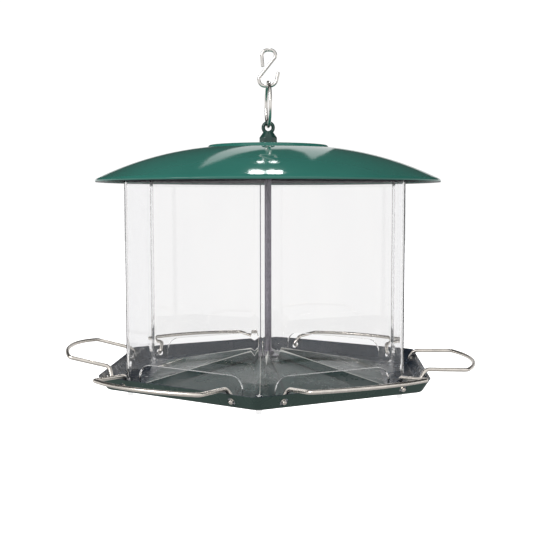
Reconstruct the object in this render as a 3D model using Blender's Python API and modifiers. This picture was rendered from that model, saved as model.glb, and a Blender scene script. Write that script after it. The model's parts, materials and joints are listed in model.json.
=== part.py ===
"""Hanging hexagonal seed feeder.

A clear six-sided gravity hopper stands on a stamped tray with a wire perch on each side. A domed
roof closes it, clamped by an eye knob on a centre rod, and the whole feeder hangs from the ring
and the S-hook in that eye. The frame is +Z up with Z = 0 at the tips of the hopper's pegs, a
corner of the hexagon towards -Y, and flat sides facing +X and -X. Lengths are in metres.
"""

import math

import bmesh
import bpy
from mathutils import Matrix, Vector

MM = 0.001
SIDES = 6
GAP = 0.3 * MM
SHEET = 1.0 * MM
SHARP_ANGLE = math.radians(30.0)

# Tray: a shallow hexagonal pan with walls that lean outwards.
PEG_DROP = 6.0 * MM
TRAY_HEIGHT = 10.0 * MM
TRAY_FLOOR_APOTHEM = 116.4 * MM
TRAY_RIM_APOTHEM = 122.6 * MM
TRAY_CORNER = 8.0 * MM
TRAY_BEND = 2.5 * MM
TRAY_BASE_Z = PEG_DROP
TRAY_FLOOR_Z = TRAY_BASE_Z + SHEET
TRAY_RIM_Z = TRAY_BASE_Z + TRAY_HEIGHT

# Hopper: a straight hexagonal tube with a feed port at the foot of each side.
HOPPER_APOTHEM = 104.0 * MM
HOPPER_CORNER = 10.0 * MM
HOPPER_INNER_CORNER = 5.0 * MM
HOPPER_WALL = 2.5 * MM
HOPPER_FOOT_Z = TRAY_FLOOR_Z + GAP
PORT_HALF_WIDTH = 46.5 * MM
PORT_TOP_Z = TRAY_RIM_Z + 8.3 * MM
PORT_CORNER = 10.0 * MM
PEG_RADIUS = 2.2 * MM
PEG_CIRCLE = 115.9 * MM
PEG_ROOT_Z = HOPPER_FOOT_Z + 5.0 * MM

# Seed diverter: a low hexagonal pyramid with a tent-shaped rib along each of its six edges.
DIVERTER_APOTHEM = 90.0 * MM
DIVERTER_HUB_RADIUS = 9.0 * MM
DIVERTER_RIB_START = 11.0 * MM
DIVERTER_HUB_Z = TRAY_RIM_Z + 5.0 * MM
DIVERTER_EDGE_Z = TRAY_FLOOR_Z + GAP + SHEET
RIB_TOP_Z = TRAY_RIM_Z + 11.4 * MM
RIB_HALF_ANGLE = math.radians(11.0)

# Roof: a turned dome with a flat raised centre and a rolled rim.
ROOF_RIM_Z = TRAY_RIM_Z + 143.8 * MM
ROOF_RADIUS = 135.0 * MM
DOME_BEND = 245.0 * MM
DOME_CENTRE_RADIUS = 24.6 * MM
DOME_HEIGHT = 28.3 * MM
BOSS_RADIUS = 46.8 * MM
BOSS_HEIGHT = 29.0 * MM
ROOF_STEPS = 60

# Centre rod and its fasteners.
ROD_RADIUS = 2.0 * MM
ROD_HOLE = ROD_RADIUS + GAP
ROD_FOOT_Z = 0.6 * MM
ROD_TOP_Z = ROOF_RIM_Z + 34.0 * MM
NUT_FLATS = 7.0 * MM
NUT_HEIGHT = 3.2 * MM
BASE_NUT_HEIGHT = 3.2 * MM
WASHER_THICKNESS = 1.0 * MM
WASHER_RADIUS = 7.8 * MM

# Eye knob, ring and S-hook.
KNOB_FOOT_Z = ROOF_RIM_Z + BOSS_HEIGHT + GAP
KNOB_RADIUS = 7.3 * MM
KNOB_FLATS = 13.8 * MM
KNOB_SHOULDER_Z = ROOF_RIM_Z + 35.2 * MM
KNOB_NECK_Z = ROOF_RIM_Z + 39.4 * MM
KNOB_NECK_RADIUS = 4.0 * MM
KNOB_BORE_Z = ROD_TOP_Z + 0.7 * MM
KNOB_TURN = math.radians(3.3)
EYE_Z = ROOF_RIM_Z + 43.0 * MM
EYE_OUTER = 5.35 * MM
EYE_HOLE = 2.45 * MM
EYE_HALF_DEPTH = 2.4 * MM
RING_WIRE = 1.3 * MM
RING_RADIUS = 17.25 * MM
RING_TURN = math.radians(8.8)
RING_SEAT_Z = EYE_Z + EYE_HOLE - GAP - RING_WIRE
HOOK_WIRE = 1.3 * MM
HOOK_SEAT_Z = RING_SEAT_Z + 2 * RING_RADIUS - RING_WIRE - GAP - HOOK_WIRE

# Perches: one bent wire on each side, its two ends sprung into holes in the tray wall.
PERCH_WIRE = 1.5 * MM
PERCH_HOLE = 3.0 * MM
PERCH_HOLE_Z = TRAY_BASE_Z + 4.6 * MM
PERCH_HOLE_SPAN = 48.3 * MM
PERCH_RIM_SPAN = 45.0 * MM
PERCH_BEND_SPAN = 46.3 * MM
PERCH_BAR_Z = TRAY_RIM_Z + 3.2 * MM
PERCH_BEND_OUT = 152.0 * MM
PERCH_BOW = 10.5 * MM
PERCH_CORNER = 4.5 * MM

# The side that each perch stands on, and how far its wire is raised above the rim at rest.
PERCHES = (
    ("perch_right", 0, 0.0),
    ("perch_back_right", 60, 0.0),
    ("perch_back_left", 120, 0.0),
    ("perch_left", 180, 13.0),
    ("perch_front_left", 240, 2.5),
    ("perch_front_right", 300, 6.5),
)


# ---------------------------------------------------------------- helpers


def clear_scene():
    for obj in list(bpy.data.objects):
        bpy.data.objects.remove(obj, do_unlink=True)


def new_collection(name):
    collection = bpy.data.collections.new(name)
    bpy.context.scene.collection.children.link(collection)
    return collection


def make_material(name, colour, roughness, metallic, transmission=0.0):
    material = bpy.data.materials.new(name)
    material.use_nodes = True
    shader = material.node_tree.nodes["Principled BSDF"]
    shader.inputs["Base Color"].default_value = (*colour, 1.0)
    shader.inputs["Roughness"].default_value = roughness
    shader.inputs["Metallic"].default_value = metallic
    shader.inputs["Transmission Weight"].default_value = transmission
    material.diffuse_color = (*colour, 1.0)
    return material


def add_object(name, data, collection, material=None):
    obj = bpy.data.objects.new(name, data)
    collection.objects.link(obj)
    if material is not None:
        data.materials.append(material)
    return obj


def mesh_from(bm, name):
    """The bmesh as a mesh whose faces point outwards."""
    bmesh.ops.recalc_face_normals(bm, faces=bm.faces)
    mesh = bpy.data.meshes.new(name)
    bm.to_mesh(mesh)
    bm.free()
    return mesh


def smooth(obj):
    obj.data.shade_smooth()
    obj.data.set_sharp_from_angle(angle=SHARP_ANGLE)


def as_mesh(obj, collection):
    """Replaces an object by the welded mesh of its evaluated shape."""
    bpy.context.view_layer.update()
    graph = bpy.context.evaluated_depsgraph_get()
    mesh = bpy.data.meshes.new_from_object(obj.evaluated_get(graph))
    bm = bmesh.new()
    bm.from_mesh(mesh)
    bmesh.ops.remove_doubles(bm, verts=bm.verts, dist=0.005 * MM)
    bm.to_mesh(mesh)
    bm.free()
    matrix = obj.matrix_world.copy()
    name = obj.name
    bpy.data.objects.remove(obj, do_unlink=True)
    solid = add_object(name, mesh, collection)
    solid.matrix_world = matrix
    return solid


def boolean(obj, other, operation):
    modifier = obj.modifiers.new(operation.title(), "BOOLEAN")
    modifier.operation = operation
    modifier.object = other
    modifier.solver = "EXACT"


def rounded(points, radii, steps, closed=False):
    """The path through these corners, with each corner turned into an arc of its own radius."""
    corners = [Vector(point) for point in points]
    count = len(corners)
    path = []
    for index, corner in enumerate(corners):
        radius = radii[index] if isinstance(radii, (list, tuple)) else radii
        is_end = not closed and index in (0, count - 1)
        if is_end or radius <= 0:
            path.append(corner)
            continue
        before = (corners[index - 1] - corner).normalized()
        after = (corners[(index + 1) % count] - corner).normalized()
        half = before.angle(after) / 2
        middle = corner + (before + after).normalized() * radius / math.sin(half)
        start = (corner + before * radius / math.tan(half) - middle).normalized()
        end = (corner + after * radius / math.tan(half) - middle).normalized()
        for step in range(steps + 1):
            path.append(middle + start.slerp(end, step / steps) * radius)
    return path


def hexagon(apothem, corner, z=0.0, steps=4):
    """A hexagon with round corners, with flat sides facing +X and -X."""
    reach = apothem / math.cos(math.pi / SIDES)
    turns = [math.radians(60 * side - 90) for side in range(SIDES)]
    points = [(reach * math.cos(turn), reach * math.sin(turn), z) for turn in turns]
    return rounded(points, corner, steps, closed=True)


def loft(bm, rings):
    """Quads between each closed ring of points and the next; returns the rings' vertices."""
    rows = [[bm.verts.new(point) for point in ring] for ring in rings]
    count = len(rows[0])
    for lower, upper in zip(rows, rows[1:]):
        for index in range(count):
            after = (index + 1) % count
            bm.faces.new((lower[index], lower[after], upper[after], upper[index]))
    return rows


def prism(bm, outline, depth, matrix):
    """A closed solid: the outline in its own XY plane, from -depth/2 to +depth/2 along its Z."""
    ends = (-depth / 2, depth / 2)
    rings = [[matrix @ Vector((p[0], p[1], z)) for p in outline] for z in ends]
    rows = loft(bm, rings)
    bm.faces.new(reversed(rows[0]))
    bm.faces.new(rows[1])


def cylinder(bm, radius, depth, matrix, segments=24):
    bmesh.ops.create_cone(
        bm,
        cap_ends=True,
        segments=segments,
        radius1=radius,
        radius2=radius,
        depth=depth,
        matrix=matrix,
    )


def as_cutter(obj):
    obj.hide_render = True
    obj.display_type = "WIRE"
    return obj


def cutter(bm, name, collection):
    return as_cutter(add_object(name, mesh_from(bm, name), collection))


def turned(name, profile, steps, collection, material=None):
    """A solid of revolution about Z from (radius, z) points, top to bottom down the outer side."""
    bm = bmesh.new()
    verts = [bm.verts.new((radius, 0.0, z)) for radius, z in profile]
    is_ring = all(radius > 0 for radius, _ in profile)
    for first, second in zip(verts, verts[1:]):
        bm.edges.new((first, second))
    if is_ring:
        bm.edges.new((verts[-1], verts[0]))
    mesh = bpy.data.meshes.new(name)
    bm.to_mesh(mesh)
    bm.free()
    obj = add_object(name, mesh, collection, material)
    screw = obj.modifiers.new("Turn", "SCREW")
    screw.steps = steps
    screw.render_steps = steps
    screw.use_merge_vertices = True
    screw.merge_threshold = 0.005 * MM
    solid = as_mesh(obj, collection)
    smooth(solid)
    return solid


def wire(name, points, radius, collection, material, cyclic=False):
    curve = bpy.data.curves.new(name, "CURVE")
    curve.dimensions = "3D"
    curve.bevel_depth = radius
    curve.bevel_resolution = 2
    curve.use_fill_caps = not cyclic
    spline = curve.splines.new("POLY")
    spline.points.add(len(points) - 1)
    for point, place in zip(spline.points, points):
        point.co = (*place, 1.0)
    spline.use_cyclic_u = cyclic
    return add_object(name, curve, collection, material)


def side_matrix(angle):
    """A side's own frame: X points out of the side and Y runs along it."""
    return Matrix.Rotation(angle, 4, "Z")


# ---------------------------------------------------------------- tray


WALL_OUT = Vector((TRAY_RIM_APOTHEM - TRAY_FLOOR_APOTHEM, 0.0, TRAY_HEIGHT)).normalized()
WALL_NORMAL = Vector((WALL_OUT.z, 0.0, -WALL_OUT.x))


def hole_centre():
    """The perch holes' place on the wall's outer face, in a side's own frame, midway along it."""
    rise = PERCH_HOLE_Z - TRAY_BASE_Z
    return Vector((TRAY_FLOOR_APOTHEM + rise * WALL_OUT.x / WALL_OUT.z, 0.0, PERCH_HOLE_Z))


def make_tray(parts, cutters, material):
    floor_inner = (TRAY_FLOOR_APOTHEM - 2 * TRAY_CORNER, 0.0, TRAY_BASE_Z)
    floor_edge = (TRAY_FLOOR_APOTHEM, 0.0, TRAY_BASE_Z)
    rim = (TRAY_RIM_APOTHEM, 0.0, TRAY_RIM_Z)
    section = rounded((floor_inner, floor_edge, rim), TRAY_BEND, 3)
    bm = bmesh.new()
    rows = loft(bm, [hexagon(point.x, TRAY_CORNER, point.z) for point in section])
    bm.faces.new(reversed(rows[0]))
    tray = add_object("tray", mesh_from(bm, "tray"), parts, material)
    smooth(tray)
    shell = tray.modifiers.new("Sheet", "SOLIDIFY")
    shell.thickness = SHEET
    shell.offset = -1.0
    shell.use_even_offset = True

    bm = bmesh.new()
    tilt = Vector((0, 0, 1)).rotation_difference(WALL_NORMAL).to_matrix().to_4x4()
    for side in range(SIDES):
        frame = side_matrix(math.radians(60 * side))
        for along in (-PERCH_HOLE_SPAN, PERCH_HOLE_SPAN):
            place = Matrix.Translation(hole_centre() + Vector((0, along, 0)))
            cylinder(bm, PERCH_HOLE, 8 * MM, frame @ place @ tilt, segments=20)
        corner = side_matrix(math.radians(60 * side - 90))
        place = Matrix.Translation((PEG_CIRCLE, 0, TRAY_BASE_Z))
        cylinder(bm, PEG_RADIUS + GAP, 6 * MM, corner @ place, segments=16)
    cylinder(bm, ROD_HOLE, 6 * MM, Matrix.Translation((0, 0, TRAY_BASE_Z)), segments=16)
    boolean(tray, cutter(bm, "tray_holes", cutters), "DIFFERENCE")


# ---------------------------------------------------------------- hopper


def roof_z(radius):
    """Height of the dome's outer face above the roof's rim."""
    offset = radius - DOME_CENTRE_RADIUS
    return DOME_HEIGHT - (DOME_BEND - math.sqrt(DOME_BEND**2 - offset**2))


CORNER_SHARE = 1 / math.cos(math.pi / SIDES) - 1
HOPPER_REACH = HOPPER_APOTHEM + CORNER_SHARE * (HOPPER_APOTHEM - HOPPER_CORNER)
HOPPER_TOP_Z = ROOF_RIM_Z + roof_z(HOPPER_REACH) - 1.1 * SHEET - GAP


def make_hopper(parts, cutters, material):
    height = HOPPER_TOP_Z - HOPPER_FOOT_Z
    curve = bpy.data.curves.new("hopper", "CURVE")
    curve.dimensions = "2D"
    curve.fill_mode = "BOTH"
    curve.extrude = height / 2
    outlines = (
        hexagon(HOPPER_APOTHEM, HOPPER_CORNER),
        hexagon(HOPPER_APOTHEM - HOPPER_WALL, HOPPER_INNER_CORNER),
    )
    for outline in outlines:
        spline = curve.splines.new("POLY")
        spline.points.add(len(outline) - 1)
        for point, place in zip(spline.points, outline):
            point.co = (place.x, place.y, 0.0, 1.0)
        spline.use_cyclic_u = True
    tube = add_object("hopper", curve, parts)
    tube.location.z = HOPPER_FOOT_Z + height / 2
    hopper = as_mesh(tube, parts)
    hopper.data.materials.append(material)
    smooth(hopper)

    port_foot = HOPPER_FOOT_Z - 5 * MM
    corners = [
        (-PORT_HALF_WIDTH, port_foot, 0),
        (PORT_HALF_WIDTH, port_foot, 0),
        (PORT_HALF_WIDTH, PORT_TOP_Z, 0),
        (-PORT_HALF_WIDTH, PORT_TOP_Z, 0),
    ]
    outline = rounded(corners, [0, 0, PORT_CORNER, PORT_CORNER], 6, closed=True)
    upright = Matrix(((0, 0, 1, 0), (1, 0, 0, 0), (0, 1, 0, 0), (0, 0, 0, 1)))
    bm = bmesh.new()
    for side in range(SIDES):
        place = Matrix.Translation((HOPPER_APOTHEM - HOPPER_WALL / 2, 0, 0))
        frame = side_matrix(math.radians(60 * side))
        prism(bm, outline, 8 * MM, frame @ place @ upright)
    boolean(hopper, cutter(bm, "hopper_ports", cutters), "DIFFERENCE")

    bm = bmesh.new()
    for side in range(SIDES):
        corner = side_matrix(math.radians(60 * side - 90))
        place = Matrix.Translation((PEG_CIRCLE, 0, PEG_ROOT_Z / 2))
        cylinder(bm, PEG_RADIUS, PEG_ROOT_Z, corner @ place, segments=16)
    boolean(hopper, cutter(bm, "hopper_pegs", cutters), "UNION")


# ---------------------------------------------------------------- seed diverter


def diverter_point(turn, radius_share):
    """A point of the diverter's upper face: turn is measured from a rib's crest."""
    off_middle = abs(turn) - math.pi / SIDES
    edge = DIVERTER_APOTHEM / math.cos(off_middle)
    radius = DIVERTER_RIB_START + radius_share * (edge - DIVERTER_RIB_START)
    height = DIVERTER_HUB_Z + radius_share * (DIVERTER_EDGE_Z - DIVERTER_HUB_Z)
    rib = (RIB_TOP_Z - DIVERTER_HUB_Z) * (1 - radius_share)
    height += rib * max(0.0, 1 - abs(turn) / RIB_HALF_ANGLE)
    return radius, height


def make_diverter(parts, material):
    sector_turns = [-RIB_HALF_ANGLE, 0.0, RIB_HALF_ANGLE]
    span = 2 * (math.pi / SIDES - RIB_HALF_ANGLE)
    sector_turns += [RIB_HALF_ANGLE + span * share for share in (0.25, 0.5, 0.75)]
    shares = (0.0, 0.25, 0.5, 0.75, 1.0)
    rings = [[] for _ in range(2 + len(shares))]
    for side in range(SIDES):
        for turn in sector_turns:
            angle = math.radians(60 * side - 90) + turn
            way = Vector((math.cos(angle), math.sin(angle), 0.0))
            from_rib = turn if turn <= math.pi / SIDES else turn - math.pi / 3
            up = Vector((0, 0, DIVERTER_HUB_Z))
            rings[0].append(way * ROD_HOLE + up)
            rings[1].append(way * DIVERTER_HUB_RADIUS + up)
            for index, share in enumerate(shares):
                radius, height = diverter_point(from_rib, share)
                rings[2 + index].append(way * radius + Vector((0, 0, height)))
    bm = bmesh.new()
    loft(bm, rings)
    mesh = mesh_from(bm, "seed_diverter")
    if mesh.polygons[0].normal.z < 0:
        mesh.flip_normals()
    diverter = add_object("seed_diverter", mesh, parts, material)
    shell = diverter.modifiers.new("Sheet", "SOLIDIFY")
    shell.thickness = SHEET
    shell.offset = -1.0
    shell.use_even_offset = False


# ---------------------------------------------------------------- roof


def make_roof(parts, material):
    boss = [
        (ROD_HOLE, 0.0, BOSS_HEIGHT),
        (BOSS_RADIUS, 0.0, BOSS_HEIGHT),
        (BOSS_RADIUS + 1.2 * MM, 0.0, roof_z(BOSS_RADIUS + 1.2 * MM)),
    ]
    outer = [(p.x, p.z) for p in rounded(boss, 1.2 * MM, 3)]
    dome_start = BOSS_RADIUS + 1.2 * MM
    dome_end = ROOF_RADIUS - 0.8 * MM
    stretches = 8
    for index in range(1, stretches + 1):
        radius = dome_start + (dome_end - dome_start) * index / stretches
        outer.append((radius, roof_z(radius)))
    inner = [(radius - 0.25 * SHEET, z - SHEET) for radius, z in outer if radius > BOSS_RADIUS]
    inner = [(radius, z) for radius, z in inner if radius < ROOF_RADIUS - 2 * SHEET]
    lip = [
        (ROOF_RADIUS, 1.2 * MM),
        (ROOF_RADIUS, 0.4 * MM),
        (ROOF_RADIUS - 0.4 * MM, 0.0),
        (ROOF_RADIUS - SHEET, 0.0),
        (ROOF_RADIUS - 1.3 * SHEET, 0.5 * MM),
        (ROOF_RADIUS - 1.4 * SHEET, roof_z(ROOF_RADIUS - 1.4 * SHEET) - 1.1 * SHEET),
    ]
    under_boss = [
        (BOSS_RADIUS - 1.2 * MM, BOSS_HEIGHT - SHEET),
        (ROD_HOLE, BOSS_HEIGHT - SHEET),
    ]
    profile = outer + lip + inner[::-1] + under_boss
    profile = [(radius, z + ROOF_RIM_Z) for radius, z in profile]
    turned("roof", profile, ROOF_STEPS, parts, material)


# ---------------------------------------------------------------- rod and fasteners


def ring_profile(inner, outer, low, high):
    return [(inner, high), (outer, high), (outer, low), (inner, low)]


def make_washer(name, outer, low, parts, material):
    profile = ring_profile(ROD_HOLE, outer, low, low + WASHER_THICKNESS)
    turned(name, profile, 24, parts, material)


def make_nut(name, low, height, parts, cutters, material):
    """A hexagon nut: the prism is trimmed by a turned double cone, which chamfers its corners."""
    chamfer = 0.7 * MM
    reach = NUT_FLATS / 2 / math.cos(math.pi / SIDES)
    bm = bmesh.new()
    turn = Matrix.Translation((0, 0, low + height / 2)) @ Matrix.Rotation(math.pi / 6, 4, "Z")
    cylinder(bm, reach, height, turn, segments=SIDES)
    nut = add_object(name, mesh_from(bm, name), parts, material)
    cone = [
        (ROD_HOLE, low + height),
        (reach - chamfer, low + height),
        (reach + 0.2 * MM, low + height - chamfer),
        (reach + 0.2 * MM, low + chamfer),
        (reach - chamfer, low),
        (ROD_HOLE, low),
    ]
    trim = as_cutter(turned(name + "_trim", cone, 24, cutters))
    boolean(nut, trim, "INTERSECT")


def make_rod(parts, material):
    chamfer = 0.4 * MM
    profile = [
        (0.0, ROD_TOP_Z),
        (ROD_RADIUS - chamfer, ROD_TOP_Z),
        (ROD_RADIUS, ROD_TOP_Z - chamfer),
        (ROD_RADIUS, ROD_FOOT_Z + chamfer),
        (ROD_RADIUS - chamfer, ROD_FOOT_Z),
        (0.0, ROD_FOOT_Z),
    ]
    turned("centre_rod", profile, 24, parts, material)


def make_fasteners(parts, cutters, material):
    washer_z = DIVERTER_HUB_Z + GAP
    nut_z = washer_z + WASHER_THICKNESS + GAP
    make_washer("diverter_washer", WASHER_RADIUS, washer_z, parts, material)
    make_nut("diverter_nut", nut_z, NUT_HEIGHT, parts, cutters, material)
    base_washer_z = TRAY_BASE_Z - GAP - WASHER_THICKNESS
    base_nut_z = base_washer_z - GAP - BASE_NUT_HEIGHT
    make_washer("base_washer", 1.3 * WASHER_RADIUS, base_washer_z, parts, material)
    make_nut("base_nut", base_nut_z, BASE_NUT_HEIGHT, parts, cutters, material)


# ---------------------------------------------------------------- eye knob, ring and S-hook


def make_knob(parts, cutters, material):
    """An eight-sided bell with a blind bore, topped by a ring-shaped eye that faces -Y."""
    foot = 0.6 * MM
    bell = [
        (0.0, KNOB_NECK_Z + 0.9 * MM),
        (KNOB_NECK_RADIUS - 0.6 * MM, KNOB_NECK_Z + 0.9 * MM),
        (KNOB_NECK_RADIUS, KNOB_NECK_Z),
        (KNOB_RADIUS - 0.5 * MM, KNOB_SHOULDER_Z + 0.2 * MM),
        (KNOB_RADIUS, KNOB_SHOULDER_Z - 0.6 * MM),
        (KNOB_RADIUS, KNOB_FOOT_Z + foot),
        (KNOB_RADIUS - foot, KNOB_FOOT_Z),
        (0.0, KNOB_FOOT_Z),
    ]
    knob = turned("eye_knob", bell, 32, parts, material)
    knob.rotation_euler.z = KNOB_TURN

    bm = bmesh.new()
    reach = KNOB_FLATS / 2 / math.cos(math.pi / 8)
    height = 40 * MM
    place = Matrix.Translation((0, 0, KNOB_FOOT_Z + height / 4))
    turn = Matrix.Rotation(KNOB_TURN + math.pi / 8, 4, "Z")
    cylinder(bm, reach, height, place @ turn, segments=8)
    boolean(knob, cutter(bm, "knob_flats", cutters), "INTERSECT")

    section_centre = (EYE_OUTER + EYE_HOLE) / 2
    section_half = (EYE_OUTER - EYE_HOLE) / 2
    steps = 12
    section = []
    for index in range(steps):
        angle = math.pi / 2 - 2 * math.pi * index / steps
        radius = section_centre + section_half * math.cos(angle)
        section.append((radius, EYE_HALF_DEPTH * math.sin(angle)))
    eye = as_cutter(turned("knob_eye", section, 28, cutters))
    eye.location.z = EYE_Z
    eye.rotation_euler = (math.pi / 2, 0.0, KNOB_TURN)
    boolean(knob, eye, "UNION")

    bm = bmesh.new()
    depth = KNOB_BORE_Z - KNOB_FOOT_Z + 2 * MM
    place = Matrix.Translation((0, 0, KNOB_BORE_Z - depth / 2))
    cylinder(bm, ROD_HOLE, depth, place, segments=20)
    boolean(knob, cutter(bm, "knob_bore", cutters), "DIFFERENCE")


def make_ring(parts, material):
    steps = 40
    points = []
    for index in range(steps):
        angle = 2 * math.pi * index / steps
        points.append((0.0, RING_RADIUS * math.sin(angle), RING_RADIUS * (1 - math.cos(angle))))
    ring = wire("hanging_ring", points, RING_WIRE, parts, material, cyclic=True)
    ring.location.z = RING_SEAT_Z
    ring.rotation_euler.z = RING_TURN


def make_hook(parts, material):
    """The S-hook's path, from the upper end round to the lower end, about its lower seat."""
    corners = [
        (-4.3, 14.9),
        (-5.4, 27.9),
        (6.2, 27.9),
        (5.6, 22.5),
        (-7.6, 6.1),
        (-6.6, 0.0),
        (5.6, 0.0),
        (8.1, 10.7),
    ]
    radii = [0.0, 4.6, 4.1, 2.2, 4.0, 4.8, 6.0, 0.0]
    points = rounded(
        [(x * MM, 0.0, z * MM) for x, z in corners], [radius * MM for radius in radii], 6
    )
    hook = wire("s_hook", points, HOOK_WIRE, parts, material)
    hook.location.z = HOOK_SEAT_Z


# ---------------------------------------------------------------- perches


def perch_path():
    """The wire's route in a side's own frame, about the midpoint of the line through its holes."""
    stub_out = WALL_NORMAL * (SHEET / 2 + 1.5 * MM)
    leg_foot = -WALL_NORMAL * (SHEET / 2 + PERCH_WIRE + GAP)
    bar_z = PERCH_BAR_Z - pivot().z
    leg_top = leg_foot + WALL_OUT * (bar_z - leg_foot.z) / WALL_OUT.z
    bend_x = PERCH_BEND_OUT - pivot().x
    half = [
        (stub_out, PERCH_HOLE_SPAN, 0.0),
        (leg_foot, PERCH_HOLE_SPAN, 1.7 * MM),
        (leg_top, PERCH_RIM_SPAN, PERCH_CORNER),
        (Vector((bend_x, 0, bar_z)), PERCH_BEND_SPAN, PERCH_CORNER),
    ]
    corners = [Vector((point.x, along, point.z)) for point, along, _ in half]
    radii = [radius for _, _, radius in half]
    bow_radius = (PERCH_BEND_SPAN**2 + PERCH_BOW**2) / (2 * PERCH_BOW)
    bow_angle = math.asin(PERCH_BEND_SPAN / bow_radius)
    stretches = 8
    bow = []
    for index in range(1, stretches):
        angle = bow_angle * (1 - 2 * index / stretches)
        reach = bend_x + PERCH_BOW - bow_radius * (1 - math.cos(angle))
        bow.append(Vector((reach, bow_radius * math.sin(angle), bar_z)))
    mirrored = [Vector((p.x, -p.y, p.z)) for p in reversed(corners)]
    return rounded(corners + bow + mirrored, radii + [0.0] * len(bow) + radii[::-1], 3)


def pivot():
    """Midway between a side's two perch holes, in the middle of the sheet."""
    return hole_centre() - WALL_NORMAL * SHEET / 2


def make_perches(parts, material):
    path = perch_path()
    for name, side_angle, raised in PERCHES:
        perch = wire(name, path, PERCH_WIRE, parts, material)
        angle = math.radians(side_angle)
        perch.matrix_world = (
            side_matrix(angle)
            @ Matrix.Translation(pivot())
            @ Matrix.Rotation(-math.radians(raised), 4, "Y")
        )


# ---------------------------------------------------------------- assembly


def main():
    clear_scene()
    parts = new_collection("hexagonal_seed_feeder")
    cutters = new_collection("cutters")
    green = make_material("green_enamel", (0.028, 0.130, 0.100), 0.18, 0.0)
    dark_green = make_material("tray_enamel", (0.022, 0.055, 0.042), 0.28, 0.0)
    clear = make_material("clear_plastic", (0.95, 0.96, 0.97), 0.03, 0.0, transmission=1.0)
    steel = make_material("bright_steel", (0.60, 0.58, 0.56), 0.25, 1.0)
    rod_steel = make_material("zinc_steel", (0.32, 0.31, 0.33), 0.35, 1.0)
    make_tray(parts, cutters, dark_green)
    make_diverter(parts, dark_green.copy())
    make_hopper(parts, cutters, clear)
    make_roof(parts, green)
    make_rod(parts, rod_steel)
    make_fasteners(parts, cutters, rod_steel.copy())
    make_knob(parts, cutters, green.copy())
    make_ring(parts, steel)
    make_hook(parts, steel.copy())
    make_perches(parts, steel.copy())


main()
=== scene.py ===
"""Looks of the hanging hexagonal seed feeder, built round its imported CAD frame.

Every CAD node is replaced by a finer piece in the same place: pressed and enamelled sheet steel,
a moulded clear hopper, a threaded rod with its fasteners, and bent bright wire. Lengths are in
metres, +Z is up, and a corner of the hexagon points towards -Y.
"""

import json
import math

import bmesh
import bpy
from mathutils import Matrix, Vector


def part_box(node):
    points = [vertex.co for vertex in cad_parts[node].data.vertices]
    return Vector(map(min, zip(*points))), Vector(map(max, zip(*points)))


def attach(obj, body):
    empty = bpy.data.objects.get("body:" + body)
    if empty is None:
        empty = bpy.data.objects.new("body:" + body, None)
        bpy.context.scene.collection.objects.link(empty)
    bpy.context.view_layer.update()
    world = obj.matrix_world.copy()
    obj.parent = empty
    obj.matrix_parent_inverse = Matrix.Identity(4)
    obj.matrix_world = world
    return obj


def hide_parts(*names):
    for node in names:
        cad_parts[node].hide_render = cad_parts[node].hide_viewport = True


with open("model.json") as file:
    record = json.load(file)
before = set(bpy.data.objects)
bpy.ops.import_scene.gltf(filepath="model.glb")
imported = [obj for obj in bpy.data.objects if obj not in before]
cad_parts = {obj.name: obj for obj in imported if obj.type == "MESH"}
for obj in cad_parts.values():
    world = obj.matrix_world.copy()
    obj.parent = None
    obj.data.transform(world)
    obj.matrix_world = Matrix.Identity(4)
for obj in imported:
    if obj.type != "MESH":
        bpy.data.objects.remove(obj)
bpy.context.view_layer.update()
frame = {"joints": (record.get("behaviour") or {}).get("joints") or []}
JOINTS = {joint["name"]: joint for joint in frame["joints"]}

MM = 0.001
SIDES = 6
SIDE_SHARE = math.cos(math.pi / SIDES)
CORNER_TURNS = [math.radians(60 * side - 90) for side in range(SIDES)]
GAP = 0.3 * MM
SHEET = 1.0 * MM

TRAY_LOW, TRAY_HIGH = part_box("tray")
_, HOPPER_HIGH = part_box("hopper")
ROOF_LOW, ROOF_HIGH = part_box("roof")
KNOB_LOW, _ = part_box("eye_knob")
ROD_LOW, ROD_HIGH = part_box("centre_rod")
RING_LOW, RING_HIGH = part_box("hanging_ring")
HOOK_LOW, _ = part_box("s_hook")
_, DIVERTER_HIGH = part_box("seed_diverter")

RIM_APOTHEM = TRAY_HIGH.x
RIM_Z = TRAY_HIGH.z
WALL_LEAN = 6.2 * MM
FLOOR_APOTHEM = RIM_APOTHEM - WALL_LEAN
TRAY_BASE_Z = TRAY_LOW.z
TRAY_CORNER = 8.0 * MM

HOPPER_APOTHEM = HOPPER_HIGH.x
HOPPER_WALL = 2.5 * MM
HOPPER_CORNER = 10.0 * MM
HOPPER_INNER_CORNER = 5.0 * MM
HOPPER_FOOT_Z = TRAY_BASE_Z + SHEET + GAP
HOPPER_TOP_Z = HOPPER_HIGH.z
PORT_HALF_WIDTH = 46.5 * MM
PORT_TOP_Z = RIM_Z + 8.3 * MM
PORT_CORNER = 10.0 * MM
PEG_RADIUS = 2.2 * MM
PEG_CIRCLE = 115.9 * MM

ROOF_RADIUS = ROOF_HIGH.x
ROOF_RIM_Z = ROOF_LOW.z
BOSS_HEIGHT = ROOF_HIGH.z - ROOF_LOW.z
DOME_BEND = 245.0 * MM
DOME_CENTRE_RADIUS = 24.6 * MM
DOME_HEIGHT = BOSS_HEIGHT - 0.7 * MM
BOSS_RADIUS = 46.8 * MM

DIVERTER_APOTHEM = 90.0 * MM
DIVERTER_HUB = 9.0 * MM
RIB_START = 11.0 * MM
RIB_RISE = 6.4 * MM
RIB_HALF_ANGLE = math.radians(11.0)

ROD_RADIUS = ROD_HIGH.x
ROD_HOLE = ROD_RADIUS + GAP
THREAD_PITCH = 0.8 * MM
THREAD_DEPTH = 0.42 * MM
LOWER_THREAD_TOP = 36.0 * MM
UPPER_THREAD_LENGTH = 30.0 * MM

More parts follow.
